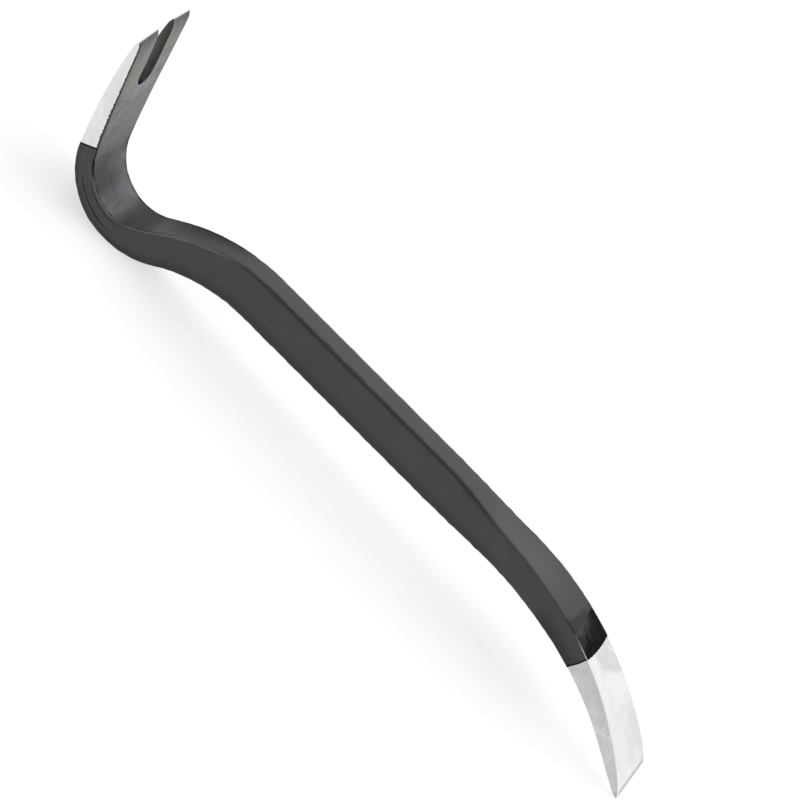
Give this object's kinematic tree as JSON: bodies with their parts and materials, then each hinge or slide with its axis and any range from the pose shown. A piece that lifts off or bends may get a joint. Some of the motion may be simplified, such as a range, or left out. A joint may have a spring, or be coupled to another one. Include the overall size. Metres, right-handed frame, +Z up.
{
  "type": "nail puller bar",
  "caption": "One-piece forged nail puller, about 300 mm long: a slotted claw on a hooked neck, a black coated shank and a curved, flared chisel end.",
  "frame": {"origin": "middle of the footprint, on the surface that the bar rests on", "axes": "+X along the bar from the claw to the chisel, +Y across the bar, +Z up, with the bar lying on the heel of its hook and on its chisel edge"},
  "size_m": [0.3028, 0.039, 0.0723],
  "materials": {
    "ground_steel": "ground bright on the claw and chisel ends, satin",
    "black_coat": "satin black coat over the neck and shank, mottled and slightly worn at the edges"
  },
  "bodies": {
    "root": {"forged_bar": "ground_steel", "shank_coat": "black_coat"}
  },
  "joints": []
}
